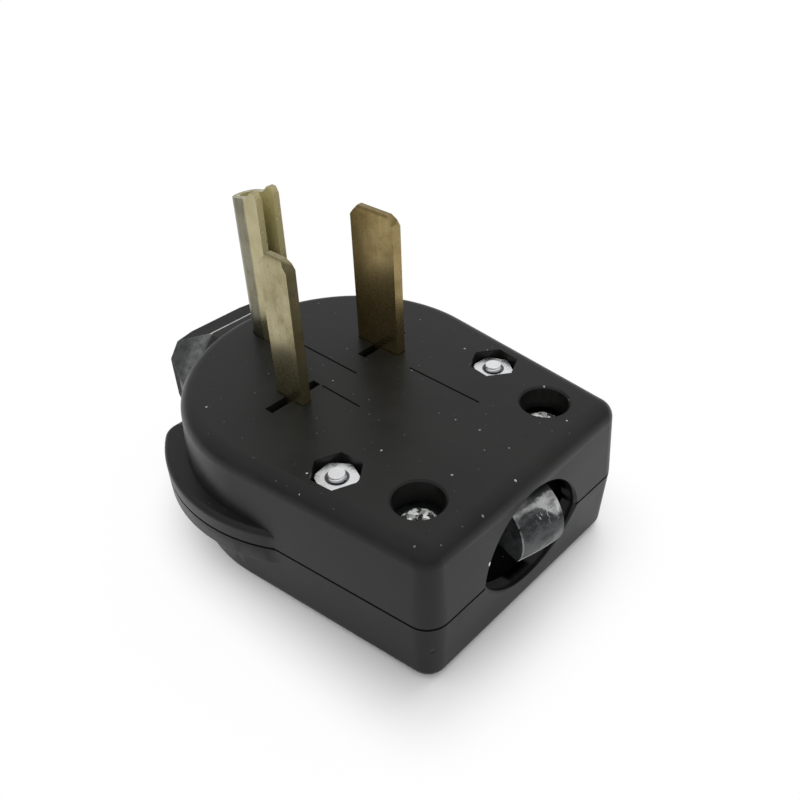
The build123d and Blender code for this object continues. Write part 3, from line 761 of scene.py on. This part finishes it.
# %% Helpers that start and run a tree
def new_tree(name, sizes):
    """A geometry tree with one input for each named size and one for the finish."""
    tree = bpy.data.node_groups.new(name, "GeometryNodeTree")
    tree.interface.new_socket("Geometry", in_out="OUTPUT", socket_type="NodeSocketGeometry")
    for label, value in sizes.items():
        kind = "NodeSocketVector" if isinstance(value, tuple) else "NodeSocketFloat"
        tree.interface.new_socket(label, in_out="INPUT", socket_type=kind).default_value = value
    tree.interface.new_socket("Finish", in_out="INPUT", socket_type="NodeSocketMaterial")
    return tree, {socket.name: socket for socket in tree.nodes.new("NodeGroupInput").outputs}


def run_tree(name, tree, sizes):
    """Sets each input by its socket's identifier and keeps the result as a plain mesh."""
    piece = bpy.data.objects.new(name, bpy.data.meshes.new(name))
    scene.collection.objects.link(piece)
    modifier = piece.modifiers.new("tree", "NODES")
    modifier.node_group = tree
    for socket in tree.interface.items_tree:
        if socket.in_out == "INPUT":
            modifier[socket.identifier] = sizes[socket.name]
    return settle(piece)


def set_pair(tree, shape, inputs, turn):
    """Sets the shape at two places, makes both real and gives them their finish."""
    sockets = {"Count": 2, "Start Location": inputs["First Place"], "Offset": inputs["Step"]}
    points = add_node(tree, "GeometryNodeMeshLine", sockets, mode="OFFSET").outputs[0]
    sockets = {"Points": points, "Instance": shape, "Rotation": turn}
    copies = add_node(tree, "GeometryNodeInstanceOnPoints", sockets).outputs[0]
    real = add_node(tree, "GeometryNodeRealizeInstances", {"Geometry": copies}).outputs[0]
    sockets = {"Geometry": real, "Material": inputs["Finish"]}
    dressed = add_node(tree, "GeometryNodeSetMaterial", sockets).outputs[0]
    add_node(tree, "NodeGroupOutput", {"Geometry": dressed})


print("tree helpers ready")

# %% [markdown]
# Screws and nuts are turned and cut from bars, and the trees do the same. A turned solid is a disc that is
# extruded step by step and scaled to the next radius. Boolean nodes then cut recesses and holes, or keep only
# what two shapes share.

# %% Helpers for shapes in a tree
def vector(tree, x, y, z):
    """A vector from three values or sockets."""
    return add_node(tree, "ShaderNodeCombineXYZ", {"X": x, "Y": y, "Z": z}).outputs[0]


def place_shape(tree, shape, **places):
    """The shape moved, turned or stretched by its Translation, Rotation or Scale."""
    return add_node(tree, "GeometryNodeTransform", {"Geometry": shape, **places}).outputs[0]


def link_all(tree, shapes, socket):
    """Links several shapes to a socket that takes more than one."""
    for shape in shapes:
        tree.links.new(shape, socket)


def join(tree, *shapes):
    """The shapes as one geometry."""
    node = add_node(tree, "GeometryNodeJoinGeometry")
    link_all(tree, shapes, node.inputs[0])
    return node.outputs[0]


def cut(tree, shape, *cutters):
    """The shape without what the cutters fill."""
    node = add_node(tree, "GeometryNodeMeshBoolean", operation="DIFFERENCE", solver="EXACT")
    tree.links.new(shape, node.inputs["Mesh 1"])
    link_all(tree, cutters, node.inputs["Mesh 2"])
    return node.outputs["Mesh"]


def shared_part(tree, *shapes):
    """Only what all the shapes fill."""
    node = add_node(tree, "GeometryNodeMeshBoolean", operation="INTERSECT", solver="EXACT")
    link_all(tree, shapes, node.inputs["Mesh 2"])
    return node.outputs["Mesh"]


def turned_solid(tree, steps, sides=48):
    """A closed solid of revolution from steps of (height, radius)."""
    sockets = {"Vertices": sides, "Radius": steps[0][1]}
    disc = add_node(tree, "GeometryNodeMeshCircle", sockets, fill_type="NGON").outputs[0]
    shape, top = disc, None
    for (low, radius), (high, next_radius) in zip(steps, steps[1:]):
        extrude = add_node(tree, "GeometryNodeExtrudeMesh", {"Mesh": shape, "Offset Scale": high - low})
        if top:
            tree.links.new(top, extrude.inputs["Selection"])
        top = extrude.outputs["Top"]
        sockets = {"Geometry": extrude.outputs["Mesh"], "Selection": top, "Scale": next_radius / radius}
        shape = add_node(tree, "GeometryNodeScaleElements", sockets).outputs[0]
    base = add_node(tree, "GeometryNodeFlipFaces", {"Mesh": disc}).outputs[0]
    sockets = {"Geometry": join(tree, shape, base), "Distance": 1e-6}
    return add_node(tree, "GeometryNodeMergeByDistance", sockets).outputs[0]


print("shape helpers ready")

# %% [markdown]
# A screw here is a pan head with a cross recess, a core and a thread. The head is turned from a disc in unit
# sizes, has two crossing bars cut out of it and is then stretched to its radius and height.

# %% Screw tree: head
head_steps = [(0, 1), (0.40, 1), (0.60, 0.96), (0.78, 0.86), (0.92, 0.68), (1.0, 0.42)]
recess_size, recess_height = (1.25, 0.24, 1.2), 1.1
screw_tree, sizes = new_tree("recessed_screw", {
    "Head Radius": 3 * mm, "Head Height": 2 * mm, "Shank Radius": 1.75 * mm, "Shank Length": 15 * mm,
    "Thread Pitch": 0.8 * mm, "First Place": (0.0, 0.0, 0.0), "Step": (0.0, 0.02, 0.0),
    "Turn": (0.0, 0.0, 0.0)})
tree = screw_tree
arm = add_node(tree, "GeometryNodeMeshCube", {"Size": recess_size}).outputs[0]
arm = place_shape(tree, arm, Translation=(0, 0, recess_height))
other_arm = place_shape(tree, arm, Rotation=(0, 0, pi / 2))
head = cut(tree, turned_solid(tree, head_steps), arm, other_arm)
head_size = vector(tree, sizes["Head Radius"], sizes["Head Radius"], sizes["Head Height"])
head = place_shape(tree, head, Scale=head_size)
print("head of", screw_tree.name)

# %% [markdown]
# The thread is a spiral that carries a diamond section: the inner half sinks into the core and the outer
# half is the ridge. It leaves a little of the shank free at both ends, measured in pitches. Screws point
# down from their seat, and the cover bolts are turned over.

# %% Screw tree: core and thread
ridge_in_pitches, free_end_in_pitches, free_in_pitches = 0.38, 0.6, 1.6
pitch, shank_length = sizes["Thread Pitch"], sizes["Shank Length"]
ridge = product(tree, pitch, ridge_in_pitches)
core_radius = calculate(tree, "SUBTRACT", sizes["Shank Radius"], ridge)
core_sizes = {"Vertices": 40, "Radius": core_radius, "Depth": shank_length}
core = add_node(tree, "GeometryNodeMeshCylinder", core_sizes).outputs["Mesh"]
core = place_shape(tree, core, Translation=vector(tree, 0, 0, product(tree, shank_length, -0.5)))

thread_length = calculate(tree, "SUBTRACT", shank_length, product(tree, pitch, free_in_pitches))
spiral = add_node(tree, "GeometryNodeCurveSpiral", {
    "Resolution": 32, "Rotations": calculate(tree, "DIVIDE", thread_length, pitch), "Reverse": True,
    "Start Radius": core_radius, "End Radius": core_radius, "Height": thread_length}).outputs[0]
spiral = add_node(tree, "GeometryNodeSetCurveNormal", {"Curve": spiral}, mode="Z_UP").outputs[0]
diamond = add_node(tree, "GeometryNodeCurvePrimitiveCircle", {"Resolution": 4, "Radius": ridge}).outputs[0]
thread_parts = {"Curve": spiral, "Profile Curve": diamond, "Fill Caps": True}
thread = add_node(tree, "GeometryNodeCurveToMesh", thread_parts).outputs[0]
thread_start = calculate(tree, "SUBTRACT", product(tree, pitch, free_end_in_pitches), shank_length)
thread = place_shape(tree, thread, Translation=vector(tree, 0, 0, thread_start))
set_pair(tree, join(tree, head, core, thread), sizes, sizes["Turn"])
print("tree:", screw_tree.name, len(tree.nodes), "nodes")

# %% [markdown]
# The frame says where the screws are: the box of a CAD screw gives its middle, its seat and its length. The
# bolts come up through the cover, so they are turned over about X. All the crosses are turned by 20
# degrees, because a tightened screw seldom stops square.

# %% Cover bolts and clamp screws
shank_radius, thread_pitch, cross_turn = 1.75 * mm, 0.8 * mm, radians(20)


def pair_places(near_node, far_node, height):
    """Place of the first of two nodes and the step to the second, at one height."""
    (near_low, near_high), (far_low, far_high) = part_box(near_node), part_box(far_node)
    first, second = (near_low + near_high) / 2, (far_low + far_high) / 2
    return (first.x, first.y, height), tuple(second - first)


def screw_pair(name, near_node, far_node, head_height, turned_over, finish):
    """Two screws from the tree in place of two CAD nodes."""
    low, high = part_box(near_node)
    seat = low.z + head_height if turned_over else high.z - head_height
    first, step = pair_places(near_node, far_node, seat)
    piece = run_tree(name, screw_tree, {
        "Head Radius": (high.x - low.x) / 2, "Head Height": head_height, "Shank Radius": shank_radius,
        "Shank Length": high.z - low.z - head_height, "Thread Pitch": thread_pitch, "First Place": first,
        "Step": step, "Turn": (pi if turned_over else 0.0, 0.0, cross_turn), "Finish": finish})
    stand_for(shade_smooth(piece, sharp_angle=30), near_node, far_node)


screw_pair("cover_bolts_threaded", "cover_bolt_near", "cover_bolt_far", 2.5 * mm, True, zinc)
screw_pair("clamp_screws_recessed", "clamp_screw_near", "clamp_screw_far", 2.3 * mm, False, chewed)

# %% [markdown]
# A hexagon nut is a six-sided bar with its corners turned off and a countersunk hole. The tree makes it just
# so: a cylinder with six sides is crossed with a turned solid, and the hole and its cone are cut out. The two
# nuts stand turned in their pockets by opposite angles, so the turn is worked out from each copy's index.

# %% Hexagon nut tree
corner_steps = [(0, 0.93), (0.08, 1.01), (0.92, 1.01), (1.0, 0.93)]
sink_growth, sink_taper, sink_depth, sink_rise = 1.1, 0.6, 0.9 * mm, 0.01 * mm
nut_tree, sizes = new_tree("hexagon_nut", {
    "Corner Radius": 4 * mm, "Height": 2.8 * mm, "Hole Radius": 1.8 * mm, "First Place": (0.0, 0.0, 0.0),
    "Step": (0.0, 0.04, 0.0), "Turn": 0.0})
tree = nut_tree
bar = add_node(tree, "GeometryNodeMeshCylinder", {"Vertices": 6, "Radius": 1.0, "Depth": 1.0}).outputs["Mesh"]
bar = place_shape(tree, bar, Translation=(0, 0, 0.5))
bar = shared_part(tree, bar, turned_solid(tree, corner_steps, sides=60))
bar_size = vector(tree, sizes["Corner Radius"], sizes["Corner Radius"], sizes["Height"])
bar = place_shape(tree, bar, Scale=bar_size)

hole_sizes = {"Vertices": 48, "Radius": sizes["Hole Radius"], "Depth": 20 * mm}
hole = add_node(tree, "GeometryNodeMeshCylinder", hole_sizes).outputs[0]
wide = product(tree, sizes["Hole Radius"], sink_growth)
narrow = product(tree, wide, sink_taper)
sink_sizes = {"Vertices": 48, "Radius Top": wide, "Radius Bottom": narrow, "Depth": sink_depth}
sink = add_node(tree, "GeometryNodeMeshCone", sink_sizes).outputs[0]
sink_foot = calculate(tree, "SUBTRACT", sizes["Height"], sink_depth - sink_rise)
sink = place_shape(tree, sink, Translation=vector(tree, 0, 0, sink_foot))
nut = cut(tree, cut(tree, bar, hole), sink)

index = add_node(tree, "GeometryNodeInputIndex").outputs[0]
turn = product(tree, calculate(tree, "SUBTRACT", index, 0.5), 2.0, sizes["Turn"])
set_pair(tree, nut, sizes, vector(tree, 0, 0, turn))
print("tree:", nut_tree.name, len(tree.nodes), "nodes")

# %% [markdown]
# The nuts are smaller than their pockets, as in the picture. Their height and places come from the boxes of
# the CAD nuts, and the width across flats gives the radius of the corners.

# %% Hexagon nuts
across_flats, hole_radius, nut_turn = 7.0 * mm, 1.95 * mm, radians(23)
nut_low, nut_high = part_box("cover_nut_near")
first, step = pair_places("cover_nut_near", "cover_nut_far", nut_low.z)
nuts = run_tree("cover_nuts", nut_tree, {
    "Corner Radius": across_flats / sqrt(3), "Height": nut_high.z - nut_low.z, "Hole Radius": hole_radius,
    "First Place": first, "Step": step, "Turn": nut_turn, "Finish": zinc})
stand_for(shade_smooth(nuts, sharp_angle=25), "cover_nut_near", "cover_nut_far")

# %% [markdown]
# The dressed plug must not grow past the CAD box, so both boxes are measured and the size of the dressed one
# is printed.

# %% Measure and finish
low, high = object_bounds()
sizes = {"cad": [list(cad_low), list(cad_high)], "visual": [list(low), list(high)]}
print("visual box", [round(v, 4) for v in high - low])
